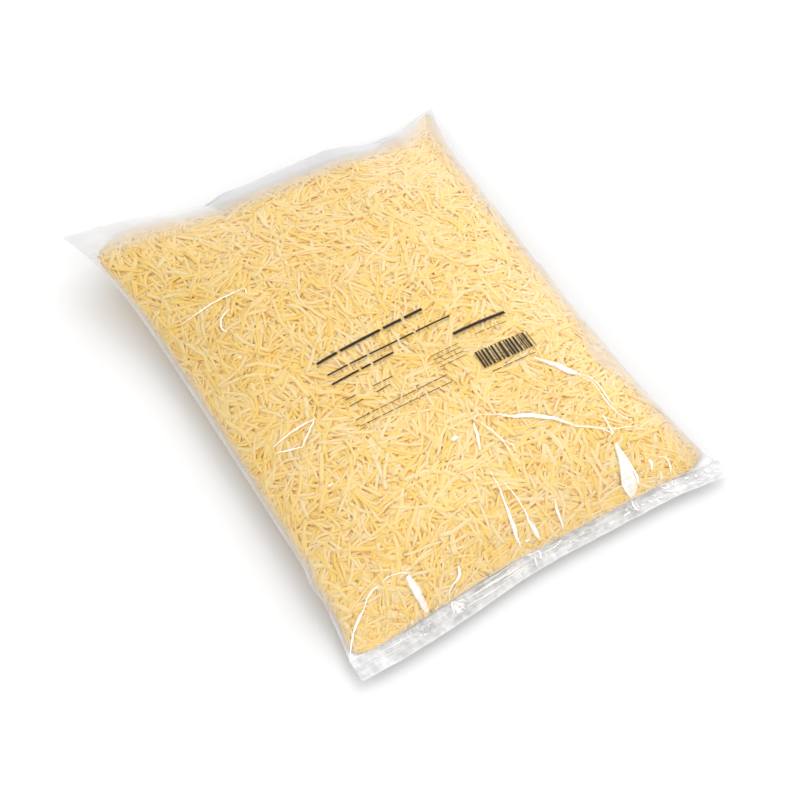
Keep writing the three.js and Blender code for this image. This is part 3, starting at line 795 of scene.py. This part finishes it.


# creases where the film stands up in sharp folds; their white is painted highlight and their dark lines are
# painted shade, with a little real gloss
crease = {
    "lift": 0.2, "ridge": 0.3, "seed": 27, "step": 1, "wander": 0.25,
    # across it: sideways, up, share of the painted highlight
    "section": ((-1, 0, 0), (-0.6, 0.6, 0.85), (0, 1, 1), (0.6, 0.6, 0.85), (1, 0, 0)),
    "broad": (1, 2.5),  # a crease counts as broad from this width, and wholly so this much wider
    "blunt": (0.35, 0.1), "uneven": (0.3, 0.08),  # slender, broad
    "tips": (0.06, 0.94), "cloud": 0.25,
    "streaks": (0.09, 5), "shadeTint": 0.12, "loose": 0.3, "nearest": 0.3, "bandEnd": 11,
    # each crease's painted highlight strength, then its places on the film with its width there (a, b, width)
    "lines": [
        (0.9, (-1, 58, 0.6), (-2, 44, 0.9), (-3, 32, 1.6), (-3, 25, 2.2), (-3, 20, 3.2), (-3, 14, 2.6),
         (-2, 8, 1)),
        (0.85, (1, 49, 0.5), (4, 38, 0.7), (6, 27, 0.8), (6, 21, 1.2), (7, 17, 2.6), (8, 11, 3),
         (9, 6, 0.8)),
        (0.7, (1, 10, 1.8), (4, 10, 1.4)),
        (0.6, (-8, 8, 0.5), (-5, 7, 0.5), (-2, 6, 0.5)),
        (0.75, (23, 25, 1.2), (22, 18, 1.8), (23, 11, 1.2), (23, 3, 0.6)),
        (0.85, (-122, 1, 0.8), (-118, 10, 1.6), (-114, 18, 2.2), (-111, 22, 1.2), (-109, 24, 2.4),
         (-105, 27, 2.6), (-100, 30, 1), (-96, 34, 1), (-92, 35, 2), (-88, 35, 2.2)),
        (0.6, (-86, 35, 0.8), (-83, 36, 1.4), (-79, 35, 0.6), (-75, 34, 0.6), (-69, 30, 0.9)),
        (0.9, (-71, 30, 3.6), (-70, 26, 4.8), (-69, 20, 5.2), (-67.6, 14, 5.2), (-66.2, 8, 4.8),
         (-65.2, 4, 4.2)),
        (0.7, (-76, 5, 1.2), (-76, 2, 1)),
        (0.5, (-82, 14, 1.4), (-80, 12, 1.4)),
        (0.9, (-41, 19, 1), (-41, 14, 2.4), (-43, 11, 2.2), (-47, 10, 1), (-50, 7, 0.8), (-51, 2, 0.8)),
        (0.6, (-44, 6, 0.6), (-47, 3, 0.6), (-48, 2, 0.6)),
        (0.8, (68.3, 39, 2.6), (67.4, 31, 5), (66.4, 24, 7.4), (65.8, 18, 8.8), (65.4, 12, 9.2),
         (65, 7, 7.4), (64.4, 3, 3.4)),
        (0.9, (64.6, 26, 0.8), (61.8, 15, 1.4), (61.6, 9, 1.3), (63.6, 2, 1)),
        (0.95, (69.2, 34, 1), (70, 24, 1.4), (70.6, 15, 2), (70, 10, 1.6)),
        (0.8, (64, 24, 0.8), (61, 14, 1.2), (62, 8, 1)),
        (0.8, (68, 24, 0.8), (69, 14, 1.4), (69, 9, 0.6)),
        (0.8, (63, 14, 1.4), (63, 7, 0.8), (64, 1, 0.8)),
        (0.85, (81, 22, 2.4), (82, 20, 2.6), (81, 17, 1.4), (80, 14, 0.7)),
        (0.75, (88, 22, 0.6), (91, 21, 0.8), (92, 17, 1.2), (91, 11, 1.3), (90, 6, 0.7)),
        (0.5, (91, 21, 0.5), (88, 21, 0.5), (83, 20, 0.6)),
        (0.5, (85, 11, 1.8), (84, 7, 2.2), (83, 3, 1.2)),
        (0.9, (61, 109, 2), (65, 103, 2.4), (70, 97, 4.6), (73, 91, 5.2), (77, 87, 3)),
        (0.8, (77, 87, 1), (82, 83, 1), (84, 79, 0.8), (84, 72, 0.9), (82, 63, 1.4), (83, 60, 1.8)),
        (0.7, (77, 87, 0.8), (80, 81, 0.7), (82, 79, 0.7), (81, 70, 0.7), (80, 62, 1), (81, 56, 1.3),
         (82, 52, 1), (86, 48, 1.4)),
        (0.85, (8, 89, 1), (11, 91, 0.7), (17, 89, 0.8), (23, 85, 1.2), (28, 80, 2), (34, 77, 3),
         (40, 72, 3.2), (46, 66, 2.6), (50, 61, 1.4), (53, 56, 1), (60, 52, 0.8), (67, 48, 1.6),
         (70, 44, 1.4)),
        (0.6, (60, 52, 0.6), (67, 49, 0.5), (74, 46, 0.6), (81, 45, 0.9), (88, 44, 0.6)),
        (0.8, (72, 56, 1.6), (71, 50, 1.2), (70, 44, 1.6)),
        (0.3, (96, 101, 0.5), (96, 90, 0.6), (102, 86, 0.7), (109, 77, 0.6), (114, 67, 0.6)),
        (0.85, (7, 88, 1.2), (6, 84, 1.8), (4, 78, 2), (1, 70, 1.4)),
        (0.8, (9, 89, 0.7), (12, 83, 0.8), (14, 76, 0.8), (15, 69, 0.8), (14, 57, 0.6)),
        (0.6, (14, 70, 0.5), (16, 69, 1), (18, 63, 1), (16, 56, 0.6)),
        (0.8, (-10, 83, 2.6), (-6, 84, 2.8)),
        (0.6, (-84, 98, 2.2), (-81, 98, 1.6)),
        (1, (-97, 139, 1), (-83, 140, 1), (-69, 139, 1)),
        (0.95, (-69, 139, 0.9), (-78, 132, 1), (-84, 128, 1.2)),
        (0.95, (-84, 128, 1.1), (-92, 132, 0.9), (-98, 135, 0.8)),
        (0.85, (-101, 240, 0.8), (-80, 240, 0.9), (-60, 238, 1)),
        (0.8, (-60, 238, 0.9), (-61, 234, 0.8)),
        (0.9, (-74, 230, 0.7), (-81, 228, 1), (-85, 222, 1.2), (-83, 217, 1)),
        (0.5, (-86, 199, 1.6), (-84, 198, 1.4)),
    ],
    # the same on the near band (x, out from the seam, width), painted shade lines where the strength is below
    # zero
    "band": [
        (0.9, (-55, 0.0, 0.8), (-56, 2.6, 1.4), (-58, 7.8, 1)),
        (0.6, (-55, 1, 1.6), (-54.6, 4, 3), (-55, 9.4, 4.4)),
        (0.55, (-54.6, 1, 1), (-52.6, 3.6, 2.6), (-50.5, 6.5, 3.4)),
        (0.8, (-54.4, 1.2, 0.6), (-51.6, 2.6, 1), (-47.8, 3.4, 0.6)),
        (0.85, (-56.4, 5, 0.8), (-54.4, 6.6, 1.2), (-50.6, 7, 0.8)),
        (0.6, (-65, 0.6, 0.5), (-65.3, 4.2, 0.5)),
        (0.6, (-72.4, 0.2, 0.5), (-72.9, 3.4, 0.5)),
        (0.6, (-79.6, 1.2, 0.5), (-79.3, 4.3, 0.5)),
        (0.6, (-84.5, 1.2, 0.5), (-84.2, 4.3, 0.5)),
        (0.8, (-79.5, 8.4, 1.2), (-77.2, 8.4, 1.4)),
        (0.45, (-104, 3.6, 0.6), (-95, 4.3, 0.9), (-86, 4.8, 0.6)),
        (0.35, (-112, 7.2, 0.6), (-100, 7.4, 0.8), (-90, 7.9, 0.6)),
        (0.6, (-47, 3.5, 0.8), (-38, 4.3, 1.6), (-27, 4.1, 2), (-19, 4.4, 1.8), (-10, 4.2, 1)),
        (0.5, (-52, 7.4, 0.8), (-42, 8.4, 0.9), (-33, 8.5, 0.8), (-25, 8.6, 0.6)),
        (0.5, (-24, 6.4, 0.8), (-12, 6.2, 1), (-3, 6.3, 0.8)),
        (0.6, (-37, 1.1, 0.7), (-32, 1.6, 0.9), (-25, 1.5, 0.6), (-16, 0.6, 0.5), (-9.5, 0.4, 0.5)),
        (0.85, (2, 0.5, 1.2), (4, 1.3, 1.6), (4, 3.7, 1.8), (1.5, 5.6, 1)),
        (0.8, (5, 3.5, 0.7), (10, 3.9, 0.8), (14.6, 3.4, 1), (18.5, 2.0, 0.7), (22.5, 0.5, 0.6)),
        (0.6, (9, 2.7, 0.6), (13, 2.0, 0.6), (16, 2.5, 0.6)),
        (0.75, (-0.5, 2.8, 1), (-1.3, 6.4, 1.2), (-2.7, 9.4, 0.9)),
        (0.7, (-4, 0.4, 1.2), (0, 0.6, 1.6)),
        (0.35, (20, 5.0, 0.6), (30, 4.5, 0.9), (40, 5.0, 0.6)),
        (0.8, (47.5, 6.8, 1.4), (51, 6.8, 1.8)),
        (0.7, (57, 6.8, 1.2), (62, 6.5, 1.6)),
        (0.8, (65, 6.3, 1.4), (67.4, 5.9, 1.2)),
        (0.9, (67.5, 0.0, 1), (66, 3.4, 1.6), (66.3, 8.1, 1.4)),
        (0.8, (68.8, 0.9, 0.7), (67.9, 4.3, 0.7), (68, 7.6, 0.7)),
        (0.85, (88, 0.2, 0.8), (90.5, 0.7, 0.7), (91.7, 2.6, 0.7), (89, 3.8, 0.8), (86.7, 2.2, 0.8),
         (86.6, 0.7, 0.7), (88, 0.2, 0.8)),
        (0.85, (94.8, 0.5, 0.7), (93.2, 4.5, 0.8), (95.2, 4.3, 0.7), (96.1, 1.5, 0.7)),
        (0.85, (86.5, 4.5, 0.8), (89.8, 6.5, 1.2), (94.7, 8.1, 1.8)),
        (0.85, (101.6, 2.7, 1.4), (103.9, 2.9, 1.6)),
        (0.85, (108.7, 2.7, 1.5), (108, 4.5, 1.5)),
        (0.9, (114.6, 2.9, 3.2), (117, 3.1, 3)),
        (0.8, (121.6, 4.0, 1.8), (123.2, 4.0, 1.8)),
        (0.8, (102, 7.6, 1.8), (104.7, 7.2, 1.8)),
        (-0.5, (-112, 0.8, 0.5), (-86, 0.5, 0.5), (-56, 0.1, 0.4)),
        (-0.35, (-56, 0.1, 0.4), (-20, 0.2, 0.5), (10, 0.2, 0.4)),
        (-0.5, (-101, 1.8, 0.4), (-92, 1.6, 0.5), (-84, 1.0, 0.4)),
        (-0.35, (20, 0.3, 0.4), (45, 0.4, 0.5), (84, 0.3, 0.4)),
        (-0.5, (30, 1.1, 0.4), (45, 1.6, 0.5), (62, 1.6, 0.4)),
        (-0.4, (-44, 1.4, 0.4), (-25, 1.9, 0.5), (-8, 1.0, 0.4)),
    ],
    "puckers": {  # small ones at random that run in from the near seal, with faint painted highlights
        "count": 16, "a": (-112, 108), "start": 0.6, "reach": (3, 9), "sway": 2, "width": (0.4, 0.9),
        "highlightAndShade": (0.15, 0.4),
    },
    "ticks": {  # and short marks on the near band, painted highlights and painted shade
        "count": 170, "x": (-118, 122), "out": (0.5, 7, 9), "length": (0.8, 3.2), "width": (0.4, 0.9),
        "turn": (0.3, 0.8), "flat": 0.6, "highlightAndShade": (-0.25, 0.3, 0.5, 0.75),
    },
}


def ribbon(rng, places, highlightAndShade, place):
    # a thin raised strip along a crease: its corners, its faces, and how milky and bright it is, white as
    # painted highlight or dark as painted shade
    places = np.array(places, float)
    walked = np.r_[0, np.cumsum(np.hypot(*np.diff(places[:, :2], axis=0).T))]
    n = max(6, int(walked[-1] / crease["step"]))
    s = np.linspace(0, walked[-1], n)
    a, b, width = (np.interp(s, walked, places[:, k]) for k in range(3))
    for _ in range(2):  # round the corners
        a[1:-1], b[1:-1] = (a[:-2] + 2 * a[1:-1] + a[2:]) / 4, (b[:-2] + 2 * b[1:-1] + b[2:]) / 4
    knots = np.linspace(0, 1, n // 3 + 2)
    wobble = [np.interp(np.linspace(0, 1, n), knots, rng.uniform(-1, 1, len(knots))) for _ in range(4)]
    a, b = a + crease["wander"] * wobble[0], b + crease["wander"] * wobble[1]
    heading = np.stack([np.gradient(a), np.gradient(b)], -1)
    heading /= np.maximum(np.linalg.norm(heading, axis=1, keepdims=True), 1e-6)
    start, over = crease["broad"]
    broad = np.clip((width - start) / over, 0, 1)  # broad creases end bluntly and keep their width
    fade = np.sin(np.linspace(*crease["tips"], n) * pi) ** mix(*crease["blunt"], broad)
    half = width / 2 * fade * (1 + mix(*crease["uneven"], broad) * wobble[2])
    side, up, share = np.array(crease["section"]).T
    acrossA = a[:, None] - heading[:, 1, None] * half[:, None] * side
    acrossB = b[:, None] + heading[:, 0, None] * half[:, None] * side
    corners = place(acrossA, acrossB, crease["lift"] + crease["ridge"] * np.minimum(half, 1)[:, None] * up)
    streak, widest = crease["streaks"]
    streaks = 1 - rng.uniform(0, streak * min(widest, width.max()), len(side)) * rng.uniform(0.5, 1, (n, 1))
    cloud = 1 + crease["cloud"] * wobble[3]
    milky = np.clip(abs(highlightAndShade) * fade * cloud, 0, 1)[:, None] * share * streaks
    bright = np.full(milky.shape, 1.0 if highlightAndShade > 0 else crease["shadeTint"])
    return corners.reshape(-1, 3), gridFaces(n, len(side), flip=True), milky.ravel(), bright.ravel()


def makeCreases(sheet, material):
    rng = np.random.default_rng(crease["seed"])

    def onFilm(a, b, up):
        return wrap(sheet, a, np.maximum(b, crease["nearest"]), -up)

    def onBand(x, out, up):
        places = nearBand(x, np.clip(out, 0, crease["bandEnd"]))
        places[..., 2] += seal["crimp"] + up
        return places

    strips = [ribbon(rng, places, highlightAndShade, onFilm) for highlightAndShade, *places in crease["lines"]]
    strips += [ribbon(rng, places, highlightAndShade, onBand) for highlightAndShade, *places in crease["band"]]
    pucker, tick = crease["puckers"], crease["ticks"]
    for _ in range(pucker["count"]):
        a, reach, width = (rng.uniform(*pucker[key]) for key in ("a", "reach", "width"))
        line = [(a, pucker["start"], width), (a + rng.normal(0, pucker["sway"]), reach, width)]
        strips.append(ribbon(rng, line, rng.uniform(*pucker["highlightAndShade"]), onFilm))
    for _ in range(tick["count"]):
        x, out, length = rng.uniform(*tick["x"]), rng.triangular(*tick["out"]), rng.uniform(*tick["length"])
        turn, width = rng.normal(*tick["turn"]), rng.uniform(*tick["width"])
        end = (x + length * cos(turn), out + length * sin(turn) * tick["flat"], width)
        strips.append(ribbon(rng, [(x, out, width), end], rng.choice(tick["highlightAndShade"]), onBand))
    points, faces = joined([strip[:2] for strip in strips])
    milky, bright = (np.concatenate([strip[k] for strip in strips]) for k in (2, 3))
    marks = {"loose": crease["loose"] * milky * (bright > 0.5), "milky": milky, "bright": bright}
    return addMesh("creases", points, faces, material, marks=marks)


# generic print: plain dashes and bars where the pack carries its lines, no lettering
printed = {
    "lift": 0.5, "seed": 12,
    "lines": [  # from x, y to x, y, how tall, in how many dashes
        ((-50, 0, 21, 1), 1.9, 4), ((-49, -10.5, 32, -11.5), 1.1, 5), ((-50, -17.5, -9, -17), 1.3, 3),
        ((-49, -31, -42, -31), 0.6, 1), ((-31, -31, -18, -31), 0.6, 2), ((-49, -36, -40, -35.8), 0.6, 1),
        ((-31, -35.6, -22, -35), 0.6, 1), ((-51, -46, 9, -46.5), 0.5, 7), ((-51, -51, 9, -52), 0.5, 8),
        ((8, -31, 26, -31), 0.4, 3), ((8, -34, 26, -34), 0.4, 3), ((8, -37, 26, -37), 0.4, 3),
        ((8, -40, 26, -40), 0.4, 3), ((27, -24, 63, -23), 2, 1), ((38, -30, 60, -29.6), 0.4, 3),
        ((33, -57, 62, -57.5), 0.5, 4),
    ],
    "shares": (0.5, 1.6), "gap": (0.8, 0.6),  # the dashes' unevenness; their gap, more where taller
    "bars": (31, -53, 66, 12),  # from x, at y, to x, height
    "barWidths": (0.5, 0.5, 0.9, 1.4), "barGaps": (0.5, 0.8, 1.2), "barTurn": 88,
}


def printBar(sheet, x, y, length, tall, angle):
    # a flat bar on the film: its left end's middle is at x, y over the table
    n = max(2, int(length / 2) + 1)
    s = np.linspace(0, length, n)[:, None]
    t = np.array([-tall / 2, tall / 2])[None, :]
    px = x + s * cos(angle) - t * sin(angle)
    py = y + s * sin(angle) + t * cos(angle)
    a, b = placeOnTop(sheet, px, py)
    points = wrap(sheet, a, b, np.full(a.shape, -printed["lift"]))
    return points.reshape(-1, 3), gridFaces(n, 2, flip=True)


def makePrint(sheet, material):
    rng = np.random.default_rng(printed["seed"])
    bars = []
    for (x0, y0, x1, y1), tall, count in printed["lines"]:
        angle, length = atan2(y1 - y0, x1 - x0), hypot(x1 - x0, y1 - y0)
        shares = rng.uniform(*printed["shares"], count)
        gap = printed["gap"][0] + printed["gap"][1] * tall
        at = 0
        for size in shares / shares.sum() * (length - gap * (count - 1)):
            x, y = x0 + at * cos(angle), y0 + at * sin(angle)
            bars.append(printBar(sheet, x, y, size, tall, angle))
            at += size + gap
    x, low, end, tall = printed["bars"]
    while x < end:
        wide = rng.choice(printed["barWidths"])
        bars.append(printBar(sheet, x, low, tall, wide, radians(printed["barTurn"])))
        x += wide + rng.choice(printed["barGaps"])
    points, faces = joined(bars)
    return addMesh("print", points, faces, material, smooth=False)


stageLook = {
    "floor": (0.675, 0.675, 0.675), "world": 1.21,
    "lights": {  # from, spread, power
        "side": ((0.76, 0.48, 0.76), 1, 1.4),
        "front": ((0.3, -0.9, 0.8), 0.9, 0.42),
        "fill": ((-0.9, -0.5, 0.35), 0.8, 0.5),
    },
}


def makeStage():
    nodes = Nodes("paleFloor")
    mesh = bpy.data.meshes.new("floor")
    mesh.from_pydata([(-6, -6, 0), (6, -6, 0), (6, 6, 0), (-6, 6, 0)], [], [(0, 1, 2, 3)])
    mesh.materials.append(nodes.finish(nodes.add("BsdfDiffuse", Color=(*stageLook["floor"], 1))))
    floor = addObject("floor", mesh)
    world = bpy.data.worlds.new("studio")
    world.use_nodes = True
    background = world.node_tree.nodes["Background"].inputs
    background["Color"].default_value = (1, 1, 1, 1)
    background["Strength"].default_value = stageLook["world"]
    scene.world = world
    for name, (place, spread, power) in stageLook["lights"].items():
        data = bpy.data.lights.new(name, "SUN")
        data.angle, data.energy = spread, power
        light = addObject(name, data)
        light.visible_glossy = False
        light.rotation_euler = (-Vector(place)).to_track_quat("-Z", "Y").to_euler()
    scene.view_settings.view_transform = "Standard"
    scene.cycles.transparent_max_bounces = 16
    scene.cycles.diffuse_bounces = 8


makeCamera()
makeStage()
print("camera, floor and lights made")
topSheet, underSheet = makeSheet("top"), makeSheet("under")
cheese, packed, clearFilm, ink = cheeseMaterial(), coreMaterial(), filmMaterial(), inkMaterial()
makeCore(topSheet, underSheet, packed)
print("core made")
makeShreds(topSheet, cheese)
makeShreds(underSheet, cheese)
print("shreds made")
makeFilm(topSheet, "topFilm", clearFilm)
makeFilm(underSheet, "underFilm", clearFilm)
makeSeal("near", clearFilm)
makeSeal("far", clearFilm)
makeCreases(topSheet, clearFilm)
print("film made")
makePrint(topSheet, ink)
print("print made")
